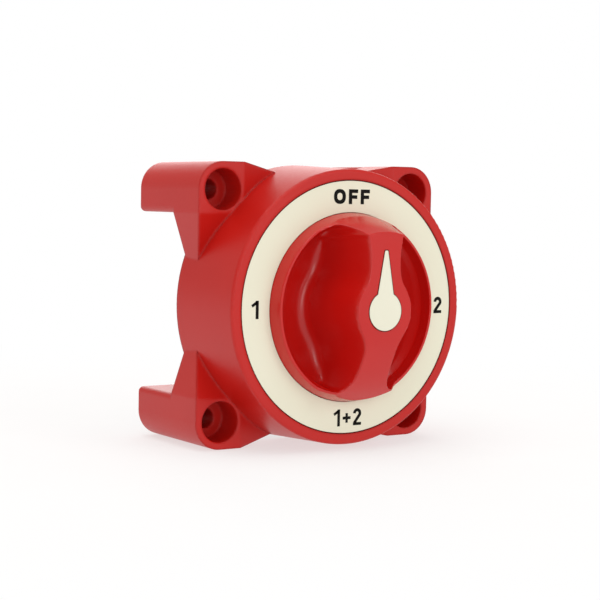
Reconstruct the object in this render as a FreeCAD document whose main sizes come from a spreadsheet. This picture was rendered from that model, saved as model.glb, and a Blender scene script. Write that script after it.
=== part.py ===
# Four-position battery selector switch: OFF, 1, 1+2 and 2 around one dial.
# Frame: origin on the knob axis in the rear mounting plane, +Z up, the dial faces -Y.
# Depths are measured back from the front rim, so y = depth - overall_depth; what stands
# proud of the rim has a negative depth. Angles run from +X towards +Z. Millimetres.
import FreeCAD, Part
import Sketcher
import math
import os

doc = FreeCAD.newDocument("battery_switch")
sheet = doc.addObject("Spreadsheet::Sheet", "Dims")
sheet.Label = "Dims"
aliases = []
pieces = []  # the document objects that are written to files


class Size:
    """A number together with the expression that binds it to the sheet."""

    def __init__(self, value, expr):
        self.value = float(value)
        self.expr = expr

    def __float__(self):
        return self.value

    def __add__(self, other):
        other = as_size(other)
        return Size(self.value + other.value, "(%s + %s)" % (self.expr, other.expr))

    def __sub__(self, other):
        other = as_size(other)
        return Size(self.value - other.value, "(%s - %s)" % (self.expr, other.expr))

    def __mul__(self, other):
        other = as_size(other)
        return Size(self.value * other.value, "(%s * %s)" % (self.expr, other.expr))

    def __truediv__(self, other):
        other = as_size(other)
        return Size(self.value / other.value, "(%s / %s)" % (self.expr, other.expr))

    def __neg__(self):
        return Size(-self.value, "(0 - %s)" % self.expr)


def as_size(number):
    if isinstance(number, Size):
        return number
    if number >= 0:
        return Size(number, repr(float(number)))
    return Size(number, "(0 - %r)" % abs(float(number)))


def cell(alias, value, note=""):
    aliases.append(alias)
    row = len(aliases)
    sheet.set("A%d" % row, alias)
    sheet.set("B%d" % row, str(value))
    sheet.set("C%d" % row, note)
    sheet.setAlias("B%d" % row, alias)
    return Size(value, "Dims." + alias)


# ---- driving dimensions ----
overall_depth = cell("overall_depth", 61.5, "rear mounting plane to front rim")
half_width = cell("half_width", 48.5, "half of the square footprint")
hole_offset = cell("hole_offset", 39.1, "mounting screw centre from the axis, both ways")
counterbore_rad = cell("counterbore_rad", 7.0)
counterbore_deep = cell("counterbore_deep", 10.6)
screw_rad = cell("screw_rad", 3.4, "clearance for a quarter-inch screw")
boss_face = cell("boss_face", 19.1, "boss front face behind the rim")
boss_inner = cell("boss_inner", 31.0, "inner edge of the square boss")
corner_round = cell("corner_round", 9.2)
rim_rad = cell("rim_rad", 46.7, "front rim outer radius")
rear_rad = cell("rear_rad", 48.2, "body radius at its rear edge, after draft")
body_deep = cell("body_deep", 34.0, "round body length")
web_rear = cell("web_rear", 32.6, "rear of a web at its tip")
web_end_a = cell("web_end_a", 45.2, "web tip, larger coordinate")
web_end_b = cell("web_end_b", 14.5, "web tip, smaller coordinate")
label_rad = cell("label_rad", 43.0)
label_hole_rad = cell("label_hole_rad", 32.2)
label_thick = cell("label_thick", 0.75)
label_sink = cell("label_sink", 0.25, "label face behind the rim face")
well_rad = cell("well_rad", 32.7)
well_deep = cell("well_deep", 12.0)
wall = cell("wall", 3.0)
chamber_rad = cell("chamber_rad", 43.0)
flange_rad = cell("flange_rad", 44.7)
knob_base_rad = cell("knob_base_rad", 32.0)
knob_top_rad = cell("knob_top_rad", 25.6)
knob_high = cell("knob_high", 18.4, "handle plateau above the rim plane at its crease")
knob_crown = cell("knob_crown", 20.0, "handle height at the hub")
cup_deep = cell("cup_deep", 8.3, "finger pocket floor behind the rim plane")
cup_floor = cell("cup_floor", 2.6)
pocket_rad = cell("pocket_rad", 30.3, "finger pocket outer radius")
pointer_rad = cell("pointer_rad", 6.4)
shaft_rad = cell("shaft_rad", 7.95)
bore_rad = cell("bore_rad", 8.0)
drive_half = cell("drive_half", 4.0, "half of the square drive")
rotor_rad = cell("rotor_rad", 31.0)
rotor_front = cell("rotor_front", 17.0)
rotor_rear = cell("rotor_rear", 24.0)
contact_wide = cell("contact_wide", 14.0)
contact_thick = cell("contact_thick", 2.5)
pad_face = cell("pad_face", 28.0, "contact plane")
base_face = cell("base_face", 30.0)
platform_rear = cell("platform_rear", 39.0)
platform_rad = cell("platform_rad", 34.5)
pad_in = cell("pad_in", 19.0)
pad_out = cell("pad_out", 28.5)
stud_rad = cell("stud_rad", 4.76, "three-eighths inch stud")
stud_ring = cell("stud_ring", 24.0)
stud_end = cell("stud_end", 58.5)
pilot_rad = cell("pilot_rad", 3.9, "plain lead-in at each stud's free end")
nut_flats = cell("nut_flats", 14.29, "nine-sixteenths inch across flats")
nut_high = cell("nut_high", 8.3)
washer_thick = cell("washer_thick", 1.6)
lock_thick = cell("lock_thick", 2.3)
flat_washer_rad = cell("flat_washer_rad", 11.0)
lock_washer_rad = cell("lock_washer_rad", 8.0)
base_screw_head = cell("base_screw_head", 3.4, "head radius")
base_screw_core = cell("base_screw_core", 1.72, "shank radius")
base_screw_high = cell("base_screw_high", 2.4, "head height with its clearance")
coil_wire = cell("coil_wire", 0.55, "contact spring wire radius")
coil_mean = cell("coil_mean", 3.05, "contact spring mean radius")
strip_thick = cell("strip_thick", 0.7, "detent spring strip")
strip_wide = cell("strip_wide", 5.6)
thread_pitch = cell("thread_pitch", 1.5875)
thread_deep = cell("thread_deep", 0.62)
fit_gap = cell("fit_gap", 0.1)
doc.recompute()


# ---- sketch and feature helpers ----
def y_at(depth):
    return as_size(depth) - overall_depth


def new_body(label):
    body = doc.addObject("PartDesign::Body", "B_" + label)
    body.Label = label
    return body


def piece_body(label):
    body = new_body(label)
    pieces.append(body)
    return body


def fix_point(sk, geometry, position, x, y):
    for kind, size in (("DistanceX", x), ("DistanceY", y)):
        index = sk.addConstraint(
            Sketcher.Constraint(kind, -1, 1, geometry, position, size.value))
        sk.setExpression("Constraints[%d]" % index, size.expr)


def sketch(body, name, role, offset, outlines=(), circles=()):
    """outlines: lists of (x, y) corners; circles: (x, y, radius); offset: along the normal."""
    sk = body.newObject("Sketcher::SketchObject", name)
    plane = next(item for item in body.Origin.OriginFeatures if item.Role == role)
    sk.AttachmentSupport = [(plane, "")]
    sk.MapMode = "FlatFace"
    offset = as_size(offset)
    sk.AttachmentOffset = FreeCAD.Placement(
        FreeCAD.Vector(0, 0, offset.value), FreeCAD.Rotation())
    sk.setExpression("AttachmentOffset.Base.z", offset.expr)
    for outline in outlines:
        points = [(as_size(x), as_size(y)) for x, y in outline]
        vectors = [FreeCAD.Vector(x.value, y.value, 0) for x, y in points]
        lines = [
            sk.addGeometry(Part.LineSegment(start, end), False)
            for start, end in zip(vectors, vectors[1:] + vectors[:1])
        ]
        for line, following in zip(lines, lines[1:] + lines[:1]):
            sk.addConstraint(Sketcher.Constraint("Coincident", line, 2, following, 1))
        for line, (x, y) in zip(lines, points):
            fix_point(sk, line, 1, x, y)
    for circle in circles:
        x, y, radius = [as_size(number) for number in circle]
        ring = sk.addGeometry(
            Part.Circle(FreeCAD.Vector(x.value, y.value, 0), FreeCAD.Vector(0, 0, 1),
                        radius.value), False)
        fix_point(sk, ring, 3, x, y)
        index = sk.addConstraint(Sketcher.Constraint("Radius", ring, radius.value))
        sk.setExpression("Constraints[%d]" % index, radius.expr)
    return sk


def add_feature(body, kind, name, profile):
    feature = body.newObject("PartDesign::" + kind, name)
    feature.Profile = profile
    body.Tip = feature
    return feature


def revolve(body, name, stations, cut=False):
    """Full turn about the Y axis of a closed outline of (depth, radius) corners."""
    outline = [(y_at(depth), radius) for depth, radius in stations]
    sk = sketch(body, name + "_sk", "YZ_Plane", 0, [outline])
    feature = add_feature(body, "Groove" if cut else "Revolution", name, sk)
    feature.ReferenceAxis = (sk, ["H_Axis"])
    feature.Angle = 360.0


def extrude(body, kind, name, plane_depth, length, outlines, circles):
    sk = sketch(body, name + "_sk", "XZ_Plane", -y_at(plane_depth), outlines, circles)
    feature = add_feature(body, kind, name, sk)
    feature.Length = length.value
    feature.setExpression("Length", length.expr)


def pad(body, name, front, rear, outlines=(), circles=()):
    """Adds between two depths; outlines are in X and Z."""
    extrude(body, "Pad", name, rear, as_size(rear) - front, outlines, circles)


def pocket(body, name, front, rear, outlines=(), circles=()):
    """Removes between two depths; outlines are in X and Z."""
    extrude(body, "Pocket", name, front, as_size(rear) - front, outlines, circles)


def cut_across(body, name, role, outlines, length):
    """Removes the outlines to both sides of an origin plane."""
    feature = add_feature(body, "Pocket", name, sketch(body, name + "_sk", role, 0, outlines))
    feature.Length = length
    feature.Midplane = True


def dress(body, name, kind, size, pick):
    """Fillet or Chamfer on the edges that pick(edge) accepts."""
    doc.recompute()
    base = body.Tip
    edges = ["Edge%d" % (i + 1) for i, edge in enumerate(base.Shape.Edges) if pick(edge)]
    if not edges:
        raise RuntimeError("no edges for " + name)
    feature = body.newObject("PartDesign::" + kind, name)
    feature.Base = (base, edges)
    size = as_size(size)
    size_property = "Radius" if kind == "Fillet" else "Size"
    setattr(feature, size_property, size.value)
    feature.setExpression(size_property, size.expr)
    body.Tip = feature
    doc.recompute()
    # guards the body against a rounding that the kernel cannot build: the edge stays sharp
    if feature.Shape.isNull() or not feature.Shape.isValid() or "Invalid" in feature.State:
        body.Tip = base
        doc.removeObject(feature.Name)
        doc.recompute()


def is_circle(edge, radius, depth):
    """True for a circular edge of this radius at this depth."""
    return (hasattr(edge.Curve, "Radius")
            and abs(edge.Curve.Radius - float(radius)) < 0.02
            and abs(edge.Vertexes[0].Y - float(y_at(depth))) < 0.02)


# ---- outlines and places in the XZ plane ----
CORNER_SIGNS = ((1, 1), (-1, 1), (-1, -1), (1, -1))


def box(x0, x1, z0, z1):
    return [(x0, z0), (x1, z0), (x1, z1), (x0, z1)]


def square(half):
    return box(-half, half, -half, half)


def each_corner(outline):
    """The same outline mirrored into all four corners."""
    return [[(as_size(x) * sign_x, as_size(z) * sign_z) for x, z in outline]
            for sign_x, sign_z in CORNER_SIGNS]


def polar(radius, degrees):
    angle = math.radians(degrees)
    return as_size(radius) * math.cos(angle), as_size(radius) * math.sin(angle)


def turned(outward, across, degrees):
    """The point so far out along a direction and so far across it, as plain numbers."""
    cosine = math.cos(math.radians(degrees))
    sine = math.sin(math.radians(degrees))
    return cosine * outward - sine * across, sine * outward + cosine * across


def ring_sector(inner, outer, start, end, steps=14):
    sweep = end - start
    points = [polar(inner, start + sweep * i / steps) for i in range(steps + 1)]
    return points + [polar(outer, end - sweep * i / steps) for i in range(steps + 1)]


def disks(centres, radius):
    return [(x, z, radius) for x, z in centres]


# ---- sizes and places that several pieces share ----
PLAY = 0.02  # hairline between neighbouring parts
SQUARE_PLAY = 0.05  # round the square drive
GASKET_SPACE = 0.6
TAIL_THICK = 2.0  # tail of the common contact
TAIL_HALF = 6.0
TAIL_LOW, TAIL_TOP = -4.0, 30.5
COMMON_DISC_RAD = 8.5
STUD_HEAD_RAD = 6.9
STUD_HEAD_THICK = 2.0
SOCKET_FLOOR = 19.4  # depth at which the contact springs rest in the rotor
SPRING_HEIGHTS = (9.6, 22.0)  # z of the contact springs
DETENT_ANGLES = (45.0, 225.0)
STUD_ANGLES = {"common": 90.0, "battery_1": 212.0, "battery_2": 328.0}
BASE_SCREW_RING = 40.3

mount_spots = [(hole_offset * sign_x, hole_offset * sign_z) for sign_x, sign_z in CORNER_SIGNS]
stud_spots = {name: polar(stud_ring, angle) for name, angle in STUD_ANGLES.items()}
screw_spots = [polar(BASE_SCREW_RING, angle) for angle in (0.0, 90.0, 180.0, 270.0)]
spring_spots = [(0, z) for z in SPRING_HEIGHTS]
label_floor = label_sink + label_thick
chamber_rear = base_face - GASKET_SPACE
cup_bottom = cup_deep + cup_floor
bridge_front = pad_face - contact_thick - 0.05


# ---- housing: round drafted body with a well for the knob, four posts that reach the panel ----
def slope_webs(body, name, at_post, at_tip, clear_to):
    """Trims the webs from clear_to up to an edge that slopes from the post to the tip."""
    near = 8.0  # inner limit of the cut, clear of the web tips
    outlines = [[
        (boss_inner * side, y_at(at_post)), (web_end_b * side, y_at(at_tip)),
        (near * side, y_at(at_tip)), (near * side, y_at(clear_to)),
        (boss_inner * side, y_at(clear_to)),
    ] for side in (1, -1)]
    cut_across(body, name + "_top", "XY_Plane", outlines, 120.0)
    swapped = [[(y, x) for x, y in outline] for outline in outlines]
    cut_across(body, name + "_side", "YZ_Plane", swapped, 120.0)


def web_outline():
    """Web in the +X +Z corner: outer line, then an arc inside the round body."""
    tuck = 2.2
    draw_in = 2.0
    line = [
        (web_end_a, web_end_b), (half_width, boss_inner), (half_width, boss_inner + tuck),
        (half_width - draw_in, half_width - draw_in),
        (boss_inner + tuck, half_width), (boss_inner, half_width), (web_end_b, web_end_a),
    ]
    return line + [polar(45.6, angle) for angle in (70.0, 60.0, 50.0, 40.0, 30.0, 20.0)]


def post_outline():
    """Square post; all but its outermost corner are eased by short facets."""
    ease = 1.8
    points = []
    # which side of the post in x and z, and the angle where the facets start
    for side_x, side_z, start in ((-1, -1, 180.0), (1, -1, 270.0), (1, 1, None), (-1, 1, 90.0)):
        corner_x = half_width if side_x > 0 else boss_inner
        corner_z = half_width if side_z > 0 else boss_inner
        if start is None:
            points.append((corner_x, corner_z))
            continue
        for i in range(5):
            angle = math.radians(start + 22.5 * i)
            points.append((corner_x - side_x * ease + ease * math.cos(angle),
                           corner_z - side_z * ease + ease * math.sin(angle)))
    return points


def is_post_corner(edge):
    """A long edge along Y on the footprint's corner."""
    return edge.Length > 20 and all(
        abs(abs(point.X) - half_width.value) < 1e-3
        and abs(abs(point.Z) - half_width.value) < 1e-3 for point in edge.Vertexes)


def is_leg_end(edge):
    """An open edge in the mounting plane."""
    return len(edge.Vertexes) == 2 and all(abs(point.Y) < 1e-3 for point in edge.Vertexes)


def build_housing():
    body = piece_body("housing")
    web_rear_post = web_rear + 3.9
    pad(body, "webs", boss_face, web_rear_post, each_corner(web_outline()))
    slope_webs(body, "web_slope", boss_face, boss_face + 5.8, 10.0)
    slope_webs(body, "web_rear", web_rear_post, web_rear, 50.0)
    pad(body, "posts", boss_face, overall_depth, each_corner(post_outline()))

    label_seat_rad = label_rad + fit_gap
    flange_seat_rad = flange_rad + fit_gap
    chamber_front = wall + 1.2
    hub_front = well_deep + wall
    revolve(body, "shell", [
        (0, label_seat_rad), (0, rim_rad), (body_deep, rear_rad), (body_deep, flange_seat_rad),
        (chamber_rear, flange_seat_rad), (chamber_rear, chamber_rad),
        (chamber_front, chamber_rad), (chamber_front, well_rad + wall),
        (hub_front, well_rad + wall), (hub_front, 13.0),
        (rotor_front - 0.6, 11.0), (rotor_front - 0.6, bore_rad),
        (well_deep, bore_rad), (well_deep, well_rad),
        (label_floor, well_rad), (label_floor, label_seat_rad),
    ])
    revolve(body, "flange_seat", [
        (chamber_rear, 0.0), (chamber_rear, flange_seat_rad),
        (body_deep + 0.4, flange_seat_rad), (body_deep + 0.4, 0.0),
    ], cut=True)
    # pillars that take the base screws
    pad(body, "pillars", wall + 0.5, chamber_rear, circles=disks(screw_spots, 4.6))
    dress(body, "post_corners", "Fillet", corner_round, is_post_corner)
    dress(body, "leg_ends", "Fillet", 1.5, is_leg_end)
    pocket(body, "counterbores", boss_face - 1.0, boss_face + counterbore_deep,
           circles=disks(mount_spots, counterbore_rad))
    pocket(body, "screw_holes", boss_face, overall_depth + 1.0,
           circles=disks(mount_spots, screw_rad))

    # cored-out rear of each post, round a tube for the screw
    core_in, core_out, core_slant = 33.2, 46.3, 6.2
    core = [
        (core_in, core_in), (core_out, core_in), (core_out, core_out - core_slant),
        (core_out - core_slant, core_out), (core_in, core_out),
    ]
    pocket(body, "cored_posts", 38.0, overall_depth + 1.0, each_corner(core),
           disks(mount_spots, 5.5))
    pocket(body, "pillar_holes", 12.0, base_face + 0.5, circles=disks(screw_spots, 1.75))

    # pegs that back the detent springs, on the chamber floor
    pegs = [turned(39.7, across, angle) for angle in DETENT_ANGLES for across in (-14.6, 14.6)]
    pad(body, "spring_pegs", wall + 0.6, rotor_rear, circles=disks(pegs, 2.0))

    dress(body, "rim_round", "Fillet", 0.9,
          lambda edge: is_circle(edge, rim_rad, 0) and edge.Length > 100)
    dress(body, "rim_inner", "Fillet", 0.12,
          lambda edge: is_circle(edge, label_seat_rad, 0) and edge.Length > 100)
    dress(body, "bore_mouths", "Fillet", 0.35,
          lambda edge: is_circle(edge, counterbore_rad, boss_face))


# ---- dial label: a flat ring set into the front ----
def build_dial_label():
    revolve(piece_body("dial_label"), "ring", [
        (label_sink, label_hole_rad), (label_sink, label_rad),
        (label_floor, label_rad), (label_floor, label_hole_rad),
    ])


# ---- knob: a drafted dome with two deep finger pockets either side of a waisted handle ----
# Right-hand finger pocket, (x, z) points that a smooth closed curve passes through
POCKET_OUTLINE = [
    (11.0, 0.0), (10.7, 3.2), (9.0, 6.6), (7.2, 9.3), (6.2, 12.0), (5.9, 15.0),
    (6.0, 19.0), (6.4, 22.0), (6.9, 24.5), (7.9, 26.6), (9.8, 27.9), (12.2, 27.9),
] + [
    turned(30.4, 0.0, angle)
    for angle in (60.0, 50.0, 38.0, 26.0, 13.0, 0.0, -13.0, -26.0, -38.0, -49.0, -57.0)
] + [
    (13.4, -27.0), (10.6, -27.6), (8.3, -26.4), (7.0, -24.0), (6.5, -20.6),
    (6.3, -16.8), (6.5, -12.8), (7.6, -9.3), (9.4, -6.2), (10.7, -3.2),
]
POCKET_OUTLINE_RAD = 30.3  # the pocket radius that the outline was drawn for
POCKET_MIDDLE = (18.5, 0.6)
# Pocket sections: (depth as a share of cup_deep, outline scale about its middle)
POCKET_LEVELS = ((-3.6, 1.0), (-0.12, 0.965), (0.36, 0.885), (0.78, 0.74), (1.0, 0.46))


def spline(before, start, end, after, along):
    """Catmull-Rom value between start and end."""
    return 0.5 * (
        2 * start + (end - before) * along
        + (2 * before - 5 * start + 4 * end - after) * along * along
        + (3 * start - before - 3 * end + after) * along ** 3)


def pocket_outline(side, scale):
    """The finger pocket's curve as a polygon; side is 1 for right and -1 for left."""
    points = []
    count = len(POCKET_OUTLINE)
    middle_x, middle_z = POCKET_MIDDLE
    for i in range(count):
        around = [POCKET_OUTLINE[(i + step) % count] for step in (-1, 0, 1, 2)]
        for along in (0.0, 0.5):
            x, z = [spline(*values, along) for values in zip(*around)]
            x = middle_x + (x - middle_x) * scale
            z = middle_z + (z - middle_z) * scale
            points.append((pocket_rad * (x * side / POCKET_OUTLINE_RAD),
                           pocket_rad * (z / POCKET_OUTLINE_RAD)))
    return points


def build_knob():
    body = piece_body("knob")
    revolve(body, "dome", [
        (-knob_crown, 0.0), (-knob_crown, 11.0), (-(knob_high + 1.0), 19.0),
        (-knob_high, knob_top_rad - 0.8), (-(knob_high - 0.8), knob_top_rad),
        (-12.0, 28.4), (-5.0, 31.0), (0.0, knob_base_rad),
        (cup_bottom - 1.2, knob_base_rad - 0.2), (cup_bottom, knob_base_rad - 1.4),
        (cup_bottom, 0.0),
    ])
    for side, name in ((1, "pocket_right"), (-1, "pocket_left")):
        sections = [
            sketch(body, "%s_%d" % (name, i), "XZ_Plane", -y_at(cup_deep * share),
                   [pocket_outline(side, scale)])
            for i, (share, scale) in enumerate(POCKET_LEVELS)
        ]
        scoop = add_feature(body, "SubtractiveLoft", name, sections[0])
        scoop.Sections = sections[1:]
        scoop.Ruled = True

    # the tail end of the handle falls away towards the rim: (depth, z)
    tail = [
        (-20.8, -9.0), (-15.4, -18.0), (-11.2, -26.0), (-7.0, -29.6), (-3.0, -31.3),
        (-3.0, -40.0), (-30.0, -40.0), (-30.0, -9.0),
    ]
    cut_across(body, "tail_fall", "YZ_Plane", [[(y_at(depth), z) for depth, z in tail]], 80.0)

    in_front = -30.0  # clear of the crown
    behind = cup_bottom + 0.5
    seat_floor = -(knob_crown - 1.0)
    pocket(body, "insert_seat", in_front, seat_floor, circles=[(0, 0, pointer_rad + fit_gap)])
    pocket(body, "insert_arm", in_front, seat_floor,
           [[(-3.4, 5.2), (3.4, 5.2), (0.7, 20.1), (-0.7, 20.1)]])
    pocket(body, "screw_seat", -(knob_crown - 0.5), -13.0, circles=[(0, 0, 4.6)])
    pocket(body, "screw_way", -14.0, 1.0, circles=[(0, 0, 2.6)])
    pocket(body, "drive_socket", 0.0, behind, [square(drive_half + SQUARE_PLAY)])
    pocket(body, "handle_core_up", -14.5, behind,
           [[(-4.2, 12.4), (4.2, 12.4), (4.8, 23.0), (-4.8, 23.0)]])
    pocket(body, "handle_core_down", -8.0, behind,
           [[(-4.2, -12.4), (-4.8, -23.0), (4.8, -23.0), (4.2, -12.4)]])


# ---- pointer insert: disc with a tapering arm ----
def build_pointer_insert():
    body = piece_body("pointer_insert")
    front = -(knob_crown + 0.15)
    rear = -(knob_crown - 1.0)
    pad(body, "disc", front, rear, circles=[(0, 0, pointer_rad)])
    pad(body, "arm", front, rear, [[
        (-3.3, 4.6), (3.3, 4.6), (0.62, 19.7), (0.35, 20.0), (-0.35, 20.0), (-0.62, 19.7),
    ]])


# ---- knob screw, under the insert ----
def build_knob_screw():
    body = piece_body("knob_screw")
    revolve(body, "turned", [
        (-17.6, 0.0), (-17.6, 3.2), (-16.6, 4.2), (-13.0, 4.2),
        (-13.0, 2.5), (9.0, 2.5), (10.0, 1.8), (10.0, 0.0),
    ])
    pocket(body, "hex_socket", -18.0, -15.0, [[polar(2.3, 60.0 * i) for i in range(6)]])


# ---- drive shaft: square front end in the knob, round journal, square rear end in the rotor ----
GROOVE_FRONT, GROOVE_REAR = 13.0, 15.0  # O-ring groove


def build_drive_shaft():
    body = piece_body("drive_shaft")
    front = cup_bottom + 0.05
    rear = rotor_front - 0.3
    chamfer = 0.3
    groove_rad = 6.1
    revolve(body, "journal", [
        (front, 0.0), (front, shaft_rad - chamfer), (front + chamfer, shaft_rad),
        (GROOVE_FRONT, shaft_rad), (GROOVE_FRONT, groove_rad),
        (GROOVE_REAR, groove_rad), (GROOVE_REAR, shaft_rad),
        (rear, shaft_rad), (rear, 0.0),
    ])
    pad(body, "front_square", 1.2, cup_bottom + 1.0, [square(drive_half)])
    pad(body, "rear_square", rotor_front - 1.0, rotor_rear - 0.2, [square(drive_half)])
    pocket(body, "tapped_hole", 0.5, 12.0, circles=[(0, 0, 2.52)])


# ---- rotor: insulating carrier with a notched rim, spring sockets and cheeks for the contact ----
def build_rotor():
    body = piece_body("rotor")
    edge = 0.6  # chamfer of the rim
    face = rotor_front + 0.4
    revolve(body, "disc", [
        (rotor_front - 0.2, 0.0), (rotor_front - 0.2, 10.6), (face, 11.4),
        (face, rotor_rad - edge), (face + edge, rotor_rad),
        (rotor_rear - edge, rotor_rad), (rotor_rear, rotor_rad - edge), (rotor_rear, 0.0),
    ])
    half_slot = contact_wide / 2 + 0.15
    cheek_out = half_slot + 3.0
    pad(body, "cheeks", rotor_rear - 1.0, pad_face - 1.0, [
        box(half_slot, cheek_out, -9.5, 27.5), box(-cheek_out, -half_slot, -9.5, 27.5),
    ])
    pocket(body, "drive_hole", rotor_front - 1.0, rotor_rear + 1.0,
           [square(drive_half + SQUARE_PLAY)])
    notches = [polar(rotor_rad + 0.9, angle) for angle in (45.0, 135.0, 225.0, 315.0)]
    pocket(body, "notches", rotor_front - 0.5, rotor_rear + 0.5, circles=disks(notches, 3.1))
    pocket(body, "spring_sockets", SOCKET_FLOOR, rotor_rear + 0.5,
           circles=disks(spring_spots, 4.0))


# ---- moving contact: copper bridge from the common disc to the rim pads ----
def build_moving_contact():
    body = piece_body("moving_contact")
    half = contact_wide / 2
    pad(body, "bar", bridge_front, pad_face - 0.05, [[
        (-half, -5.6), (-5.0, -7.6), (5.0, -7.6), (half, -5.6),
        (half, 25.6), (5.4, 27.4), (-5.4, 27.4), (-half, 25.6),
    ]])
    pad(body, "spring_pips", bridge_front - 0.9, bridge_front + 0.5,
        circles=disks(spring_spots, 2.2))


# ---- fixed contacts and the insulator between them ----
def build_fixed_contacts():
    common = piece_body("common_contact")
    pad(common, "disc", pad_face, base_face + 1.0, circles=[(0, 0, COMMON_DISC_RAD)])
    pad(common, "tail", base_face, base_face + TAIL_THICK,
        [box(-TAIL_HALF, TAIL_HALF, TAIL_LOW, TAIL_TOP)])
    for label, start, end in (
        ("battery_1_contact", 163.0, 263.0),
        ("battery_2_contact", 277.0, 377.0),
        ("off_insulator", 18.5, 161.5),
    ):
        pad(piece_body(label), "sector", pad_face, base_face,
            [ring_sector(pad_in, pad_out, start, end)])


# ---- base plate: flange that closes the body, raised terminal platform with barriers ----
def build_base_plate():
    body = piece_body("base_plate")
    edge_rad = platform_rad - 0.8
    revolve(body, "plate", [
        (base_face, 0.0), (base_face, flange_rad), (body_deep, flange_rad),
        (body_deep, platform_rad + 0.8), (platform_rear - 0.6, platform_rad),
        (platform_rear, edge_rad), (platform_rear, 0.0),
    ])
    barrier = box(6.0, 33.0, -1.1, 1.1)  # along and across its own direction
    pad(body, "barriers", platform_rear - 1.0, platform_rear + 8.0, [
        [turned(outward, across, angle) for outward, across in barrier]
        for angle in (30.0, 151.0, 270.0)
    ])

    before = base_face - 1.0
    half = fit_gap + TAIL_HALF
    pocket(body, "common_channel", before, base_face + TAIL_THICK,
           [box(-half, half, -fit_gap + TAIL_LOW, fit_gap + TAIL_TOP)])
    pocket(body, "common_seat", before, base_face + 1.0,
           circles=[(0, 0, fit_gap + COMMON_DISC_RAD)])
    head_rad = fit_gap + STUD_HEAD_RAD
    head_rear = base_face + STUD_HEAD_THICK + 0.05
    pocket(body, "stud_seats", before, head_rear,
           circles=disks([stud_spots["battery_1"], stud_spots["battery_2"]], head_rad))
    pocket(body, "common_head_seat", base_face + 1.0, head_rear + TAIL_THICK,
           circles=disks([stud_spots["common"]], head_rad))
    pocket(body, "stud_holes", base_face, platform_rear + 1.0,
           circles=disks(stud_spots.values(), stud_rad + 0.08))
    pocket(body, "screw_holes", before, body_deep + 1.0, circles=disks(screw_spots, 2.1))
    dress(body, "platform_edge", "Fillet", 0.5,
          lambda edge: is_circle(edge, edge_rad, platform_rear))


# ---- helpers for the plain solids ----
def at(x, depth, z):
    return FreeCAD.Vector(x, float(y_at(depth)), z)


def cylinder(x, z, radius, front, rear):
    return Part.makeCylinder(float(radius), float(rear) - float(front),
                             at(x, front, z), FreeCAD.Vector(0, 1, 0))


def tube(x, z, outer, inner, front, rear):
    return cylinder(x, z, outer, front, rear).cut(cylinder(x, z, inner, front - 1, rear + 1))


def face_of(points):
    return Part.Face(Part.makePolygon(points + [points[0]]))


def spin(x, z, stations):
    """Full turn of (radius, depth) corners about the line through x, z along Y."""
    face = face_of([at(x + radius, depth, z) for radius, depth in stations])
    return face.revolve(FreeCAD.Vector(x, 0, z), FreeCAD.Vector(0, 1, 0), 360)


def plain(spots):
    """Places as plain numbers."""
    return [(float(x), float(z)) for x, z in spots]


def add_shape(label, shape):
    piece = doc.addObject("Part::Feature", "S_" + label)
    piece.Label = label
    piece.Shape = shape
    pieces.append(piece)


# ---- terminals: stud, flat washer, split lock washer and hex nut on each ----
lock_front = platform_rear + washer_thick + PLAY
nut_front = lock_front + lock_thick + PLAY


def stud_blank(name):
    """Parametric stud before its thread is cut."""
    body = new_body(name + "_stud_blank")
    spot = [stud_spots[name]]
    head_front = base_face + TAIL_THICK if name == "common" else base_face
    pad(body, "head", head_front + PLAY, head_front + STUD_HEAD_THICK,
        circles=disks(spot, STUD_HEAD_RAD))
    pad(body, "shank", head_front + 1.0, stud_end - 3.0, circles=disks(spot, stud_rad - PLAY))
    pad(body, "pilot", stud_end - 3.5, stud_end, circles=disks(spot, pilot_rad))
    dress(body, "tip", "Chamfer", 0.6, lambda edge: is_circle(edge, pilot_rad, stud_end))
    return body


def thread_grooves(x, z):
    """Cosmetic rolled thread: stacked V grooves, one for each turn."""
    radius = stud_rad.value - PLAY
    root = radius - thread_deep.value
    mouth = radius + 0.5
    pitch = thread_pitch.value
    half_mouth = pitch * 0.32
    depth = (platform_rear + washer_thick + lock_thick + nut_high + 1.2).value
    end = stud_end.value - 3.3
    grooves = []
    while depth < end:
        grooves.append(spin(x, z, [
            (root, depth), (mouth, depth - half_mouth), (mouth, depth + half_mouth)]))
        depth += pitch
    return grooves


def build_studs():
    for name, spot in stud_spots.items():
        blank = stud_blank(name)
        doc.recompute()
        shape = blank.Shape.copy()
        for groove in thread_grooves(*plain([spot])[0]):
            shape = shape.cut(groove)
        add_shape(name + "_stud", shape)


def flat_washer(x, z):
    washer = tube(x, z, flat_washer_rad, stud_rad + 0.25,
                  platform_rear + PLAY, platform_rear + washer_thick)
    outer = [e for e in washer.Edges if hasattr(e.Curve, "Radius") and e.Curve.Radius > 10]
    return washer.makeFillet(0.35, outer)


def lock_washer(x, z):
    washer = tube(x, z, lock_washer_rad, stud_rad + 0.25, lock_front, lock_front + lock_thick)
    split = Part.makeBox(6.0, 10.0, 1.0, FreeCAD.Vector(0, -5, -0.5))
    split.rotate(FreeCAD.Vector(0, 0, 0), FreeCAD.Vector(1, 0, 0), 22)
    split.translate(at(x + 3.5, lock_front + lock_thick / 2, z))
    return washer.cut(split)


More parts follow.
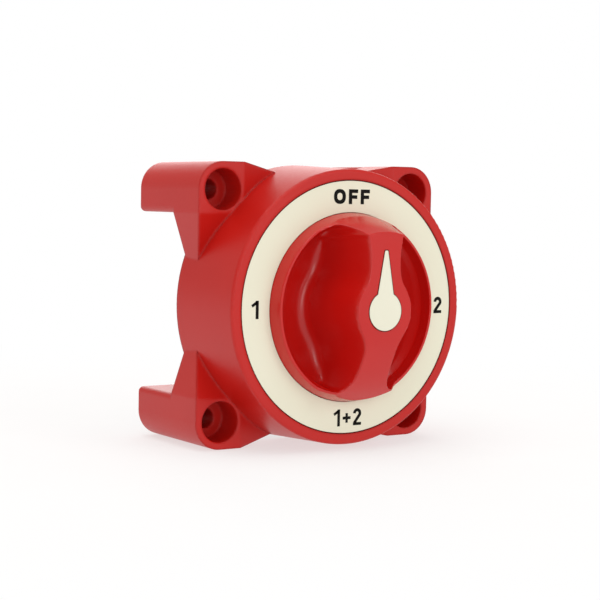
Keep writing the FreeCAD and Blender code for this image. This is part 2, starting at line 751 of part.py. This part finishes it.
def hex_nut(x, z):
    corner_rad = nut_flats.value / math.sqrt(3.0)
    corners = [turned(corner_rad, 0.0, 60 * i + 12) for i in range(6)]
    prism = face_of([at(x + dx, nut_front, z + dz) for dx, dz in corners])
    prism = prism.extrude(FreeCAD.Vector(0, nut_high.value, 0))
    # a bevelled drum takes the points off both ends
    rear = nut_front + nut_high
    end_rad = corner_rad * 0.88
    drum_rad = corner_rad + 0.4
    drum = spin(x, z, [
        (0, nut_front), (end_rad, nut_front), (drum_rad, nut_front + 1.0),
        (drum_rad, rear - 1.0), (end_rad, rear), (0, rear),
    ])
    bore = cylinder(x, z, stud_rad + PLAY, nut_front - 1, rear + 1)
    return prism.common(drum).cut(bore)


def build_terminal_hardware():
    for label, make in (
        ("terminal_flat_washers", flat_washer),
        ("terminal_lock_washers", lock_washer),
        ("terminal_nuts", hex_nut),
    ):
        shapes = [make(x, z) for x, z in plain(stud_spots.values())]
        add_shape(label, Part.makeCompound(shapes))


# ---- base screws, with a cross recess ----
def base_screw(x, z):
    head_rear = body_deep + base_screw_high
    head = cylinder(x, z, base_screw_head, body_deep + PLAY, head_rear)
    rim = [edge for edge in head.Edges if is_circle(edge, base_screw_head, head_rear)]
    head = head.makeFillet(1.0, rim)
    screw = head.fuse(cylinder(x, z, base_screw_core, 16.0, body_deep + 0.5)).removeSplitter()
    for wide, tall in ((0.8, 4.0), (4.0, 0.8)):
        corner = at(x - wide / 2, body_deep + 1.2, z - tall / 2)
        screw = screw.cut(Part.makeBox(wide, 2.0, tall, corner))
    return screw


def build_base_screws():
    screws = [base_screw(x, z) for x, z in plain(screw_spots)]
    add_shape("base_screws", Part.makeCompound(screws))


# ---- seals and thrust washer ----
def build_seals():
    front = chamber_rear + PLAY
    rear = base_face - PLAY
    inner = chamber_rad + fit_gap
    outer = flange_rad - fit_gap
    revolve(piece_body("base_gasket"), "flat_ring",
            [(front, inner), (front, outer), (rear, outer), (rear, inner)])

    ring_mean = shaft_rad - 0.92
    ring = doc.addObject("Part::Torus", "shaft_o_ring")
    ring.Label = "shaft_o_ring"
    ring.Radius1 = ring_mean.value
    ring.Radius2 = 0.9
    ring.setExpression("Radius1", ring_mean.expr)
    ring.Placement = FreeCAD.Placement(at(0, (GROOVE_FRONT + GROOVE_REAR) / 2, 0),
                                       FreeCAD.Rotation(FreeCAD.Vector(1, 0, 0), 90))
    pieces.append(ring)


def build_thrust_washer():
    front = rotor_front - 0.56
    rear = rotor_front - 0.24
    inner = bore_rad + fit_gap
    revolve(piece_body("thrust_washer"), "ring",
            [(front, inner), (front, 10.5), (rear, 10.5), (rear, inner)])


# ---- contact springs: coils between the rotor sockets and the bridge ----
def contact_spring(z):
    wire = coil_wire.value
    front = SOCKET_FLOOR + PLAY + wire
    length = bridge_front.value - 0.03 - wire - front
    helix = Part.makeHelix(length / 3.5, length, coil_mean.value)
    helix.rotate(FreeCAD.Vector(0, 0, 0), FreeCAD.Vector(1, 0, 0), -90)
    helix.translate(at(0, front, z))
    first = helix.Edges[0]
    section = Part.makeCircle(wire, first.Vertexes[0].Point,
                              first.tangentAt(first.FirstParameter))
    return Part.Wire(helix.Edges).makePipeShell([Part.Wire([section])], True, True)


def build_contact_springs():
    springs = [contact_spring(z) for z in SPRING_HEIGHTS]
    add_shape("contact_springs", Part.makeCompound(springs))


# ---- detent springs: bent strips whose noses sit in the rotor notches ----
# Inner face of a strip: (across, outward) from the axis
STRIP_PATH = [
    (-16.2, 37.2), (-5.2, 33.9), (-2.3, 32.0), (-1.0, 30.35),
    (1.0, 30.35), (2.3, 32.0), (5.2, 33.9), (16.2, 37.2),
]
STRIP_FRONT = 17.8


def build_detent_springs():
    back = [(across, outward + strip_thick.value) for across, outward in reversed(STRIP_PATH)]
    strips = []
    for angle in DETENT_ANGLES:
        points = [turned(outward, across, angle) for across, outward in STRIP_PATH + back]
        face = face_of([at(x, STRIP_FRONT, z) for x, z in points])
        strips.append(face.extrude(FreeCAD.Vector(0, strip_wide.value, 0)))
    add_shape("detent_springs", Part.makeCompound(strips))


build_housing()
build_dial_label()
build_knob()
build_pointer_insert()
build_knob_screw()
build_drive_shaft()
build_rotor()
build_moving_contact()
build_fixed_contacts()
build_base_plate()
build_studs()
build_terminal_hardware()
build_base_screws()
build_seals()
build_thrust_washer()
build_contact_springs()
build_detent_springs()
doc.recompute()

# ---- state check and export ----
for item in doc.Objects:
    if "Invalid" in item.State or "Error" in item.State:
        raise RuntimeError("%s is %s" % (item.Label, item.State))

os.makedirs("parts", exist_ok=True)
for piece in pieces:
    shape = piece.Shape
    if shape.isNull() or not shape.isValid() or not shape.Solids:
        raise RuntimeError("bad shape: " + piece.Label)
    shape.exportStep(os.path.join("parts", piece.Label + ".step"))
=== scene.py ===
# A rotary battery switch: a red housing with a round dial label (OFF, 1, 1+2, 2) and a knob.
# The dial faces -Y with its centre on the Y axis; +X is its right and +Z its top.
# The knob is a disc with a raised handle along Z between two finger pockets.
# Shapes are written in millimetres; lights, camera and floor in metres.
import bpy, bmesh, math
import numpy as np
from mathutils import Vector, Matrix


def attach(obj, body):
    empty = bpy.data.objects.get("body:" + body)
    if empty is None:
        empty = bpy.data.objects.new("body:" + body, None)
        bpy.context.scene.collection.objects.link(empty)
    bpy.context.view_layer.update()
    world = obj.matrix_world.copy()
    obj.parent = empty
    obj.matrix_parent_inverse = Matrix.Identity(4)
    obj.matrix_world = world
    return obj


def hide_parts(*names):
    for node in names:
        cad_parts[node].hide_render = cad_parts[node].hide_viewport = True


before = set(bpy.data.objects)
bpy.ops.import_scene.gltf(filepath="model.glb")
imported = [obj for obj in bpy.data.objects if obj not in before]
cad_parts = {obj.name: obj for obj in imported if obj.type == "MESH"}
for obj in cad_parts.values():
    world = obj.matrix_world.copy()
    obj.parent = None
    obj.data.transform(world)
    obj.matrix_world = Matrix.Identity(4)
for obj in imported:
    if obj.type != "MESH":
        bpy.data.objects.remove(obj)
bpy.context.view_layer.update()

MM = 0.001
RIM_Y = -61.5            # plane of the front rim
HANDLE_HEIGHT = 20.0     # flat top of the handle, over the rim plane
scene = bpy.context.scene


# ------------------------------------------------------------------ materials
def srgb(*channels):
    """Linear colour from 0-255 sRGB channels."""
    def linear(value):
        value /= 255.0
        return value / 12.92 if value <= 0.04045 else ((value + 0.055) / 1.055) ** 2.4
    return tuple(linear(value) for value in channels)


def material(name, dark, light, *, rough, bump, grain=900.0, metallic=0.0, specular=0.5,
             coat=0.0, bevel=0.0):
    """Broad noise drifts the colour from dark to light; fine grain drives roughness and bump.

    rough is the (low, high) roughness; bevel is the radius of softened edges in metres.
    """
    mat = bpy.data.materials.new(name)
    mat.use_nodes = True
    nodes, links = mat.node_tree.nodes, mat.node_tree.links
    shader = nodes["Principled BSDF"]
    coords = nodes.new("ShaderNodeTexCoord")
    mapping = nodes.new("ShaderNodeMapping")
    links.new(coords.outputs["Object"], mapping.inputs["Vector"])

    def noise(scale, detail):
        node = nodes.new("ShaderNodeTexNoise")
        node.inputs["Scale"].default_value = scale
        node.inputs["Detail"].default_value = detail
        links.new(mapping.outputs["Vector"], node.inputs["Vector"])
        return node.outputs["Fac"]

    broad = noise(scale=25.0, detail=3.0)
    fine = noise(scale=grain, detail=4.0)

    ramp = nodes.new("ShaderNodeValToRGB")
    for stop, position, colour in zip(ramp.color_ramp.elements, (0.3, 0.7), (dark, light)):
        stop.position = position
        stop.color = (*colour, 1.0)
    links.new(broad, ramp.inputs["Fac"])
    links.new(ramp.outputs["Color"], shader.inputs["Base Color"])

    rough_range = nodes.new("ShaderNodeMapRange")
    rough_range.inputs["To Min"].default_value = rough[0]
    rough_range.inputs["To Max"].default_value = rough[1]
    links.new(fine, rough_range.inputs["Value"])
    links.new(rough_range.outputs["Result"], shader.inputs["Roughness"])

    relief = nodes.new("ShaderNodeBump")
    relief.inputs["Strength"].default_value = bump
    relief.inputs["Distance"].default_value = 0.0002
    links.new(fine, relief.inputs["Height"])
    if bevel:
        soft_edge = nodes.new("ShaderNodeBevel")
        soft_edge.samples = 4
        soft_edge.inputs["Radius"].default_value = bevel
        links.new(soft_edge.outputs["Normal"], relief.inputs["Normal"])
    links.new(relief.outputs["Normal"], shader.inputs["Normal"])

    shader.inputs["Metallic"].default_value = metallic
    shader.inputs["Specular IOR Level"].default_value = specular
    shader.inputs["Coat Weight"].default_value = coat
    shader.inputs["Coat Roughness"].default_value = 0.2
    return mat


red_body = material("red_body", srgb(184, 17, 10), srgb(190, 22, 13),
                    rough=(0.33, 0.43), bump=0.03, bevel=0.0013, specular=0.38)
red_knob = material("red_knob", srgb(187, 14, 9), srgb(191, 18, 11),
                    rough=(0.26, 0.27), bump=0.0, specular=0.38, coat=0.18)
cream_film = material("cream_film", srgb(225, 225, 203), srgb(229, 229, 208),
                      rough=(0.42, 0.5), bump=0.02, specular=0.35)
cream_insert = material("cream_insert", srgb(224, 223, 203), srgb(229, 228, 209),
                        rough=(0.35, 0.42), bump=0.01, specular=0.4, bevel=0.00015)
ink = material("black_ink", srgb(9, 9, 7), srgb(14, 13, 10),
               rough=(0.55, 0.65), bump=0.0, specular=0.12)
# Dark red painted shadow for the narrow gaps round the label and round the pointer insert.
painted_gap_shadow = material("painted_gap_shadow", srgb(70, 8, 8), srgb(80, 10, 9),
                    rough=(0.7, 0.8), bump=0.0, specular=0.1)
steel = material("stainless", (0.50, 0.50, 0.51), (0.62, 0.62, 0.63), metallic=1.0,
                 rough=(0.22, 0.38), grain=1500, bump=0.05, bevel=0.0002)
tin = material("tin_plate", (0.60, 0.56, 0.50), (0.72, 0.69, 0.63), metallic=1.0,
               rough=(0.25, 0.4), grain=1500, bump=0.05, bevel=0.0002)
spring = material("spring_steel", (0.40, 0.40, 0.42), (0.55, 0.55, 0.57), metallic=1.0,
                  rough=(0.2, 0.35), grain=1500, bump=0.04)
copper = material("copper_bar", (0.66, 0.30, 0.18), (0.80, 0.40, 0.25), metallic=1.0,
                  rough=(0.25, 0.4), grain=1200, bump=0.06, bevel=0.0002)
black = material("black_moulding", (0.010, 0.010, 0.011), (0.017, 0.017, 0.018),
                 rough=(0.42, 0.55), grain=1400, bump=0.12, bevel=0.0003)
grey = material("grey_polymer", (0.05, 0.05, 0.055), (0.075, 0.075, 0.08),
                rough=(0.4, 0.5), grain=1200, bump=0.08, bevel=0.0003)
rubber = material("rubber", (0.008, 0.008, 0.008), (0.014, 0.014, 0.014),
                  rough=(0.65, 0.8), grain=1600, bump=0.12)

FINISH = {
    "housing": red_body, "knob": red_knob,
    "dial_label": cream_film, "pointer_insert": cream_insert,
    "knob_screw": steel, "drive_shaft": grey,
    "shaft_o_ring": rubber, "thrust_washer": steel,
    "rotor": grey, "detent_springs": spring,
    "moving_contact": copper, "contact_springs": spring, "common_contact": copper,
    "battery_1_contact": copper, "battery_2_contact": copper,
    "off_insulator": black, "base_plate": black, "base_gasket": rubber,
    "common_stud": tin, "battery_1_stud": tin, "battery_2_stud": tin,
    "terminal_flat_washers": steel, "terminal_lock_washers": steel,
    "terminal_nuts": steel, "base_screws": steel,
}
for piece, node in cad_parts.items():
    node.data.materials.clear()
    node.data.materials.append(FINISH[piece])


# ------------------------------------------------------------------ mesh helpers
def put(name, verts, faces, mat, body, smooth=False):
    """Make an object from points in millimetres, riding on the named body."""
    mesh = bpy.data.meshes.new(name)
    mesh.from_pydata((np.array(verts) * MM).tolist(), [], faces)
    mesh.validate()
    mesh.update()
    ob = bpy.data.objects.new(name, mesh)
    scene.collection.objects.link(ob)
    mesh.materials.append(mat)
    if smooth:
        mesh.shade_smooth()
    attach(ob, body)
    return ob


def band_faces(count):
    """Quads of a closed band whose vertices alternate between its two edges."""
    faces = []
    for i in range(count):
        j = (i + 1) % count
        faces.append((2 * i, 2 * i + 1, 2 * j + 1, 2 * j))
    return faces


# ------------------------------------------------------------------ knob height field
KNOB_RADIUS = 32.0
POCKET_FLOOR = -8.6      # deepest height in a pocket, over the rim plane
POCKET_ARC_RADIUS = 30.4

# Outline of the +X pocket as (x, z); the -X one mirrors it.
POCKET = (
    # from the handle's middle up its side and round the top corner
    [(10.6, 0.0), (10.3, 3.2), (8.8, 6.6), (7.1, 9.3), (6.2, 12.0), (5.9, 15.0),
     (6.0, 19.0), (6.4, 22.0), (6.9, 24.5), (7.9, 26.6), (9.8, 27.9), (12.2, 27.9)]
    # along the rim, by angle
    + [(POCKET_ARC_RADIUS * math.cos(math.radians(degrees)),
        POCKET_ARC_RADIUS * math.sin(math.radians(degrees)))
       for degrees in (60.0, 50.0, 38.0, 26.0, 13.0, 0.0, -13.0, -26.0, -38.0, -49.0, -57.0)]
    # round the bottom corner and back up the handle's side
    + [(13.4, -27.0), (10.6, -27.4), (8.3, -26.0), (6.8, -23.4), (6.2, -20.2),
       (6.1, -16.6), (6.3, -12.8), (7.4, -9.3), (9.1, -6.2), (10.3, -3.2)])

# Top of the handle's lower end: (z, height over the rim plane).
TAIL = [(-34.0, 2.5), (-31.5, 5.2), (-29.0, 8.2), (-26.0, 11.0), (-22.0, 13.8), (-18.0, 15.9),
        (-14.0, 17.8), (-11.0, 19.0), (-8.0, 19.7), (-4.0, 20.0), (0.0, 20.0), (40.0, 20.0)]


def smooth_min(a, b, blend):
    t = np.clip(0.5 + 0.5 * (b - a) / blend, 0, 1)
    return b * (1 - t) + a * t - blend * t * (1 - t)


def smooth_max(a, b, blend):
    return -smooth_min(-a, -b, blend)


def bell(offsets, spread):
    """Gaussian weights that add up to one."""
    weights = np.exp(-0.5 * (offsets / spread) ** 2)
    return weights / weights.sum()


def cone(r, radius, height, slope):
    """A cone about the Y axis that passes through height at radius."""
    return height + (radius - r) * slope


def bowl_rise(t, power):
    """Superellipse rise from 0 at t=0, flat, to 1 at t=1, upright."""
    return 1 - (1 - t ** power) ** (1 / power)


def smooth_loop(points, steps=12):
    """Closed Catmull-Rom curve through the points."""
    points = np.array(points, float)
    count = len(points)
    curve = []
    for i in range(count):
        a, b, c, d = (points[(i + k) % count] for k in (-1, 0, 1, 2))
        for t in np.linspace(0, 1, steps, endpoint=False):
            curve.append(0.5 * (2 * b + (c - a) * t + (2 * a - 5 * b + 4 * c - d) * t * t
                                + (3 * b - a - 3 * c + d) * t ** 3))
    return np.array(curve)


def inside_distance(x, z, loop):
    """Distance to the loop or its mirror image: positive inside, negative outside."""
    shape = x.shape
    x, z = np.abs(x).ravel(), z.ravel()
    nearest = np.full(x.shape, 1e9)     # squared
    inside = np.zeros(x.shape, bool)
    for (ax, az), (bx, bz) in zip(loop, np.roll(loop, -1, 0)):
        dx, dz = bx - ax, bz - az
        t = np.clip(((x - ax) * dx + (z - az) * dz) / (dx * dx + dz * dz + 1e-12), 0, 1)
        nearest = np.minimum(nearest, (x - ax - t * dx) ** 2 + (z - az - t * dz) ** 2)
        if az != bz:
            inside ^= ((az > z) != (bz > z)) & (x < (bx - ax) * (z - az) / (bz - az) + ax)
    return (np.where(inside, 1.0, -1.0) * np.sqrt(nearest)).reshape(shape)


def soft_inside(x, z, loop, spread=1.9, step=0.3, reach=36.0, taps=18):
    """inside_distance blurred on a grid, which rounds off the crease along each pocket."""
    axis = np.arange(-reach, reach + step / 2, step)
    grid = inside_distance(*np.meshgrid(axis, axis, indexing="ij"), loop)
    weights = bell(np.arange(-taps, taps + 1) * step, spread)
    for _ in range(2):      # blur along the first axis, then swap axes
        padded = np.pad(grid, [(taps, taps), (0, 0)], mode="edge")
        grid = sum(weight * padded[i:i + len(axis)] for i, weight in enumerate(weights)).T
    # bilinear lookup
    u, v = (x + reach) / step, (z + reach) / step
    i, j = np.floor(u).astype(int), np.floor(v).astype(int)
    fu, fv = u - i, v - j
    return (grid[i, j] * (1 - fu) * (1 - fv) + grid[i + 1, j] * fu * (1 - fv)
            + grid[i, j + 1] * (1 - fu) * fv + grid[i + 1, j + 1] * fu * fv)


def cap_height(x, z, r):
    """The knob's face without its pockets."""
    upper = smooth_min(HANDLE_HEIGHT, cone(r, radius=31.3, height=4.6, slope=2.95), blend=0.6)

    offsets = np.arange(-8, 9) * 0.5
    tail_z, tail_height = zip(*TAIL)
    tail = sum(weight * np.interp(z + offset, tail_z, tail_height)
               for offset, weight in zip(offsets, bell(offsets, spread=1.6)))
    lower = smooth_min(tail, cone(r, radius=KNOB_RADIUS, height=3.4, slope=3.6), blend=2.5)
    cap = np.where(z > 0, upper, lower)

    # thin crest round the pockets, which climbs towards the handle and the centre
    crest = 4.9 + 0.6 * np.maximum(0, 16.0 - np.abs(x)) ** 1.3 + np.maximum(0, 29.4 - r) * 6.0
    cap = smooth_min(cap, crest, blend=0.8)
    return smooth_min(cap, cone(r, radius=31.15, height=4.7, slope=5.5), blend=0.45)


def knob_height(x, z):
    """Height of the knob's face over the rim plane."""
    r = np.hypot(x, z)
    cap = cap_height(x, z, r)
    # true distance near the pocket's edge, fading to the blurred one further in
    loop = smooth_loop(POCKET)
    depth = inside_distance(x, z, loop)
    fade = np.clip((depth - 0.8) / 3.2, 0, 1)
    fade = fade * fade * (3 - 2 * fade)
    depth = depth * (1 - fade) + soft_inside(x, z, loop) * fade
    # bowl that reaches the pocket's floor this far in from its edge
    bowl_width = 8.0
    t = np.clip((bowl_width - depth) / bowl_width, 0, 1)
    bowl = POCKET_FLOOR + (cap - POCKET_FLOOR) * bowl_rise(t, power=2.1)
    # limit on how steep its edge is
    bowl = smooth_max(bowl, cap - 7.5 * depth, blend=2.5)
    # long slope from the crest down to the deepest part beside the handle
    slope_start, slope_width, slope_top = 9.4, 21.0, 4.4
    t = np.clip((r - slope_start) / slope_width, 0, 1)
    slope = POCKET_FLOOR + (slope_top - POCKET_FLOOR) * bowl_rise(t, power=2)
    bowl = smooth_max(bowl, slope, blend=5.5)
    return np.where(depth > 0, np.minimum(bowl, cap), cap)


# ------------------------------------------------------------------ knob mesh
SPOKES = 720
# Rings of the side and underside: (radius, depth behind the rim plane).
SKIRT = [(KNOB_RADIUS, 1.0), (KNOB_RADIUS, 9.0), (31.4, 10.6), (28.0, 10.8), (8.2, 10.85)]


def knob_mesh():
    """Polar grid: a centre point, rings over the face, then the skirt."""
    radii = np.concatenate([np.linspace(0, 24.5, 120)[1:], np.linspace(24.6, KNOB_RADIUS, 76)])
    angles = np.linspace(0, 2 * np.pi, SPOKES, endpoint=False)
    r, angle = np.meshgrid(radii, angles, indexing="ij")
    x, z = r * np.cos(angle), r * np.sin(angle)
    height = knob_height(x, z)
    height[-1, :] = np.minimum(height[-1, :], 0.4)
    rings = [np.stack([x, RIM_Y - height, z], -1).reshape(-1, 3)]
    for radius, depth in SKIRT:
        rings.append(np.stack([radius * np.cos(angles), np.full(SPOKES, RIM_Y + depth),
                               radius * np.sin(angles)], -1))
    middle = np.zeros(1)
    centre = np.array([[0.0, RIM_Y - knob_height(middle, middle)[0], 0.0]])
    verts = np.concatenate([centre] + rings, 0)

    faces = [(0, 1 + j, 1 + (j + 1) % SPOKES) for j in range(SPOKES)]
    for ring in range(len(radii) + len(SKIRT) - 1):
        a = 1 + ring * SPOKES
        b = a + SPOKES
        for j in range(SPOKES):
            k = (j + 1) % SPOKES
            faces.append((a + j, b + j, b + k, a + k))
    return verts, faces


def add_knob():
    verts, faces = knob_mesh()
    knob = put("knob_moulding", verts, faces, red_knob, "turning_knob", smooth=True)
    bm = bmesh.new()
    bm.from_mesh(knob.data)
    bmesh.ops.recalc_face_normals(bm, faces=bm.faces)
    bm.to_mesh(knob.data)
    bm.free()
    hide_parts("knob")


add_knob()


# ------------------------------------------------------------------ dial figures
# Each figure is a list of flat (vertices, faces) shapes from its lower left corner;
# weight is the stroke's thickness.
def stroke(points, weight):
    """A thick line through the points, with mitred corners."""
    points = [Vector(p) for p in points]
    verts = []
    for i, p in enumerate(points):
        before = (p - points[i - 1]).normalized() if i else (points[1] - p).normalized()
        after = (points[i + 1] - p).normalized() if i < len(points) - 1 else before
        across = before + after
        mitre = Vector((-across.y, across.x)).normalized()
        half = weight / 2 / max(0.35, mitre.dot(Vector((-after.y, after.x))))
        verts += [p + mitre * half, p - mitre * half]
    faces = [(2 * i, 2 * i + 1, 2 * i + 3, 2 * i + 2) for i in range(len(points) - 1)]
    return verts, faces


def rect(x0, z0, x1, z1):
    return [Vector(p) for p in ((x0, z0), (x1, z0), (x1, z1), (x0, z1))], [(0, 1, 2, 3)]


def figure_o(height, width, weight):
    count = 40
    verts = []
    for i in range(count):
        angle = 2 * math.pi * i / count
        # a power under one squares the oval slightly
        x, z = (math.copysign(abs(t) ** 0.86, t) for t in (math.cos(angle), math.sin(angle)))
        for inset_x, inset_z in ((0, 0), (weight, weight * 0.92)):
            verts.append(Vector((width / 2 + (width / 2 - inset_x) * x,
                                 height / 2 + (height / 2 - inset_z) * z)))
    return [(verts, band_faces(count))]


def figure_f(height, width, weight):
    return [rect(0, 0, weight, height),
            rect(weight, height - weight * 0.88, width, height),
            rect(weight, height * 0.5 - weight * 0.5, width * 0.92, height * 0.5 + weight * 0.36)]


def figure_1(height, width, weight):
    flag = [(0.0, height * 0.70), (width - weight * 0.55, height - weight * 0.45)]
    return [rect(width - weight, 0, width, height), stroke(flag, weight * 0.86)]


def figure_plus(height, width, weight):
    x, z = width / 2, height * 0.47
    half = weight / 2
    return [rect(0, z - half, width, z + half),
            rect(x - half, z - x, x + half, z - half),
            rect(x - half, z + half, x + half, z + x)]


def figure_2(height, width, weight):
    radius_x = (width - weight) / 2
    radius_z = radius_x * 1.06
    x, z = width / 2, height - weight / 2 - radius_z
    angles = [math.radians(178 - i * 11.5) for i in range(18)]
    points = [(x + radius_x * math.cos(t), z + radius_z * math.sin(t)) for t in angles]
    points.append((weight * 0.52, weight * 0.75))
    return [stroke(points, weight), rect(0, 0, width, weight * 0.92)]


FIGURES = {"O": figure_o, "F": figure_f, "1": figure_1, "+": figure_plus, "2": figure_2}

# (name, centre x, centre z, height, [(figure, left edge, width, weight), ...])
MARKS = [
    ("mark_off", 0, 37.4, 5.0, [("O", 0, 4.9, 1.4), ("F", 6.1, 3.8, 1.4), ("F", 11.0, 3.8, 1.4)]),
    ("mark_1", -37.6, 0, 6.0, [("1", 0, 2.6, 1.15)]),
    ("mark_1_2", 0, -37.5, 5.8, [("1", 0, 2.5, 1.1), ("+", 3.6, 3.3, 1.0), ("2", 7.9, 3.4, 1.1)]),
    ("mark_2", 37.7, 0, 5.8, [("2", 0, 3.5, 1.15)]),
]
MARK_Y = RIM_Y + 0.22


def add_mark(name, x, z, height, parts):
    total = max(left + width for _, left, width, _ in parts)
    verts, faces = [], []
    for figure, left, width, weight in parts:
        for shape_verts, shape_faces in FIGURES[figure](height, width, weight):
            base = len(verts)
            verts += [(x - total / 2 + left + p.x, MARK_Y, z - height / 2 + p.y)
                      for p in shape_verts]
            faces += [tuple(base + i for i in face) for face in shape_faces]
    put(name, verts, faces, ink, "body")


for mark in MARKS:
    add_mark(*mark)


# ------------------------------------------------------------------ painted gap shadows
def add_label_edge(inner=42.75, outer=43.1, y=RIM_Y + 0.2, count=256):
    """Thin ring of painted shadow round the label, standing in for the shade of the rim's recess
    wall.
    """
    verts = []
    for i in range(count):
        angle = 2 * math.pi * i / count
        for r in (inner, outer):
            verts.append((r * math.cos(angle), y, r * math.sin(angle)))
    ring = put("label_edge_shadow", verts, band_faces(count), painted_gap_shadow, "body")


def add_pointer_edge():
    """Dark plate of painted shadow on the handle, showing as a dark line in the gap round the
    pointer insert: a round with a taper that rises to a blunt tip.
    """
    radius = 6.4
    neck = 3.3          # half width where the taper leaves the round
    tip = 0.6           # half width at the tip
    tip_z = 20.0
    gap = 0.28          # margin added all round
    y = RIM_Y - (HANDLE_HEIGHT + 0.05)
    neck_angle = math.acos(neck / radius)
    outline = []
    for i in range(97):
        angle = math.pi - neck_angle + (math.pi + 2 * neck_angle) * i / 96.0
        outline.append(((radius + gap) * math.cos(angle), (radius + gap) * math.sin(angle)))
    side, corner = tip + gap, tip * 0.6 + gap * 0.7
    outline += [(side, tip_z), (corner, tip_z + gap), (-corner, tip_z + gap), (-side, tip_z)]
    verts = [(x, y, z) for x, z in outline]
    plate = put("pointer_gap_shadow", verts, [tuple(range(len(verts)))], painted_gap_shadow, "turning_knob")


add_label_edge()
add_pointer_edge()


# ------------------------------------------------------------------ stage
def floor_material():
    """Pale near the switch, fading to glowing white further out."""
    mat = material("floor_pale", (0.90, 0.90, 0.90), (0.92, 0.92, 0.92),
                   rough=(0.8, 0.9), bump=0.0, specular=0.1)
    nodes, links = mat.node_tree.nodes, mat.node_tree.links
    geometry = nodes.new("ShaderNodeNewGeometry")
    length = nodes.new("ShaderNodeVectorMath")
    length.operation = "LENGTH"
    links.new(geometry.outputs["Position"], length.inputs[0])
    fade = nodes.new("ShaderNodeMapRange")
    fade.interpolation_type = "SMOOTHSTEP"
    # distances from the origin, and the share of glow at each
    for socket, value in (("From Min", 0.05), ("From Max", 0.32),
                          ("To Min", 0.62), ("To Max", 1.0)):
        fade.inputs[socket].default_value = value
    links.new(length.outputs["Value"], fade.inputs["Value"])
    glow = nodes.new("ShaderNodeEmission")
    glow.inputs["Color"].default_value = (1, 1, 1, 1)
    glow.inputs["Strength"].default_value = 1.0
    mix = nodes.new("ShaderNodeMixShader")
    links.new(fade.outputs["Result"], mix.inputs["Fac"])
    links.new(nodes["Principled BSDF"].outputs[0], mix.inputs[1])
    links.new(glow.outputs[0], mix.inputs[2])
    links.new(mix.outputs[0], nodes["Material Output"].inputs["Surface"])
    return mat


def add_floor(z=-0.0487):
    bpy.ops.mesh.primitive_plane_add(size=60.0, location=(0, 0, z))
    floor = bpy.context.object
    floor.name = "floor"
    floor.data.materials.append(floor_material())


def add_world():
    """Warm fill light, but plain white where the camera sees it."""
    world = bpy.data.worlds.new("studio")
    scene.world = world
    world.use_nodes = True
    nodes, links = world.node_tree.nodes, world.node_tree.links
    fill = nodes["Background"]
    fill.inputs["Color"].default_value = (1.0, 0.93, 0.88, 1)
    fill.inputs["Strength"].default_value = 0.62
    light_path = nodes.new("ShaderNodeLightPath")
    white = nodes.new("ShaderNodeBackground")
    white.inputs["Color"].default_value = (1, 1, 1, 1)
    white.inputs["Strength"].default_value = 1.0
    mix = nodes.new("ShaderNodeMixShader")
    links.new(light_path.outputs["Is Camera Ray"], mix.inputs["Fac"])
    links.new(fill.outputs[0], mix.inputs[1])
    links.new(white.outputs[0], mix.inputs[2])
    links.new(mix.outputs[0], nodes["World Output"].inputs["Surface"])


def area_light(name, location, target, size, power):
    light = bpy.data.lights.new(name, "AREA")
    light.shape = "RECTANGLE"
    light.size, light.size_y = size
    light.energy = power
    ob = bpy.data.objects.new(name, light)
    scene.collection.objects.link(ob)
    ob.location = location
    aim = Vector(target) - Vector(location)
    ob.rotation_euler = aim.to_track_quat("-Z", "Y").to_euler()


def add_camera():
    """In front, to the left and a little above, orbiting the centre of the rim plane."""
    distance = 0.5333
    azimuth, elevation, roll = (math.radians(d) for d in (-35.2206, 3.9091, -1.1571))
    # turns about the camera's own axes that shift the view off the target
    pan_left, tilt_up = math.radians(1.8262955), math.radians(0.2693041)

    data = bpy.data.cameras.new("cam")
    cam = bpy.data.objects.new("cam", data)
    scene.collection.objects.link(cam)
    data.sensor_width = 36.0
    data.lens = 94.46
    data.clip_start = 0.01

    back = Vector((math.sin(azimuth) * math.cos(elevation),
                   -math.cos(azimuth) * math.cos(elevation), math.sin(elevation)))
    right = Vector((math.cos(azimuth), math.sin(azimuth), 0))
    up = back.cross(right)
    rolled_right = right * math.cos(roll) - up * math.sin(roll)
    rolled_up = right * math.sin(roll) + up * math.cos(roll)
    turn = Matrix.Rotation(pan_left, 3, "Y") @ Matrix.Rotation(tilt_up, 3, "X")
    facing = Matrix((rolled_right, rolled_up, back)).transposed() @ turn
    target = Vector((0, RIM_Y * MM, 0))
    cam.matrix_world = Matrix.Translation(target + back * distance) @ facing.to_4x4()
    scene.camera = cam


add_floor()
add_world()
scene.view_settings.view_transform = "Standard"
area_light("key_top", location=(-0.12, -0.1, 0.8), target=(0, -0.03, 0),
           size=(0.7, 0.7), power=3.2)
area_light("left_box", location=(-0.42, -0.8, 0.1), target=(0, -0.03, 0),
           size=(0.34, 0.5), power=1.5)
area_light("back_box", location=(0.5, 0.85, 0.3), target=(0, 0, 0.02),
           size=(1.0, 0.5), power=3.3)
area_light("front_box", location=(0.3, -0.85, 0.3), target=(0, -0.03, 0),
           size=(0.35, 0.6), power=1.25)
add_camera()
